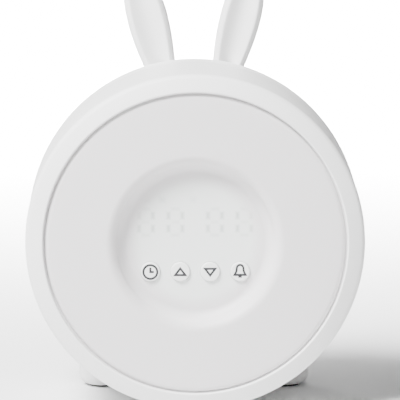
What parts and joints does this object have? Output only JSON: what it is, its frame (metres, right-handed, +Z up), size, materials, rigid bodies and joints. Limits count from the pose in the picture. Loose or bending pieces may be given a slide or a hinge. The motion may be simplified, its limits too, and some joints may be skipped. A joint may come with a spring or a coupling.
{
  "type": "kids alarm clock with night light",
  "caption": "Round white alarm clock with a glowing front, a dished display with push buttons, two rabbit ears and small round feet; the battery door lifts off.",
  "frame": {"origin": "on the floor under the middle of the clock", "axes": "+X to the right seen from the front, +Y from the face to the back, +Z up"},
  "size_m": [0.144, 0.0743, 0.1844],
  "materials": {
    "white_shell": "fine matte white",
    "milky_diffuser": "silky milky white",
    "display_window": "satin milky white",
    "button_white": "satin white",
    "switch_black": "matte black",
    "inner_white": "matte white",
    "display_black": "satin pale grey",
    "display_segment": "milky",
    "board_green": "solder mask",
    "lamp": "clear over phosphor",
    "steel_screw": "zinc plated",
    "rubber_dark": "matte",
    "rubber_grey": "matte",
    "speaker_steel": "plated",
    "speaker_paper": "pressed paper",
    "ribbon_white": "flat cable",
    "cell_wrap": "shrink wrap"
  },
  "bodies": {
    "case": {"front_housing": "white_shell", "rear_cover": "white_shell", "ear_left": "white_shell", "ear_right": "white_shell", "rear_foot_left": "white_shell", "rear_foot_right": "white_shell", "front_diffuser": "milky_diffuser", "display_window": "display_window", "switch_housings": "switch_black", "board_chips": "switch_black", "ribbon_sockets": "switch_black", "button_guide": "inner_white", "reflector_pan": "inner_white", "battery_box": "inner_white", "display_module": "display_black", "display_segments": "display_segment", "display_board": "board_green", "light_board": "board_green", "main_board": "board_green", "night_light_lamps": "lamp", "ear_screws": "steel_screw", "foot_screws": "steel_screw", "inner_screws": "steel_screw", "case_screws": "steel_screw", "foot_soles": "rubber_dark", "front_feet": "rubber_grey", "speaker_basket": "speaker_steel", "speaker_magnet": "speaker_steel", "inlet_socket": "speaker_steel", "contact_plates": "speaker_steel", "battery_springs": "speaker_steel", "speaker_cone": "speaker_paper", "display_ribbon": "ribbon_white", "light_ribbon": "ribbon_white", "battery_cells": "cell_wrap"},
    "button_clock_body": {"button_clock": "button_white", "plunger_clock": "switch_black"},
    "button_up_body": {"button_up": "button_white", "plunger_up": "switch_black"},
    "button_down_body": {"button_down": "button_white", "plunger_down": "switch_black"},
    "button_bell_body": {"button_bell": "button_white", "plunger_bell": "switch_black"},
    "battery_door_body": {"battery_door": "white_shell", "battery_door_screw": "steel_screw"}
  },
  "joints": [
    {"name": "press_clock", "type": "slide", "parent": "case", "child": "button_clock_body", "axis": [0, 1, 0], "range_m": [0, 0.0008], "stiffness_N_per_m": 1500, "springref_m": -0.0004},
    {"name": "press_up", "type": "slide", "parent": "case", "child": "button_up_body", "axis": [0, 1, 0], "range_m": [0, 0.0008], "stiffness_N_per_m": 1500, "springref_m": -0.0004},
    {"name": "press_down", "type": "slide", "parent": "case", "child": "button_down_body", "axis": [0, 1, 0], "range_m": [0, 0.0008], "stiffness_N_per_m": 1500, "springref_m": -0.0004},
    {"name": "press_bell", "type": "slide", "parent": "case", "child": "button_bell_body", "axis": [0, 1, 0], "range_m": [0, 0.0008], "stiffness_N_per_m": 1500, "springref_m": -0.0004},
    {"name": "battery_door_lift", "type": "slide", "parent": "case", "child": "battery_door_body", "axis": [0, 1, 0], "range_m": [0, 0.015]}
  ]
}
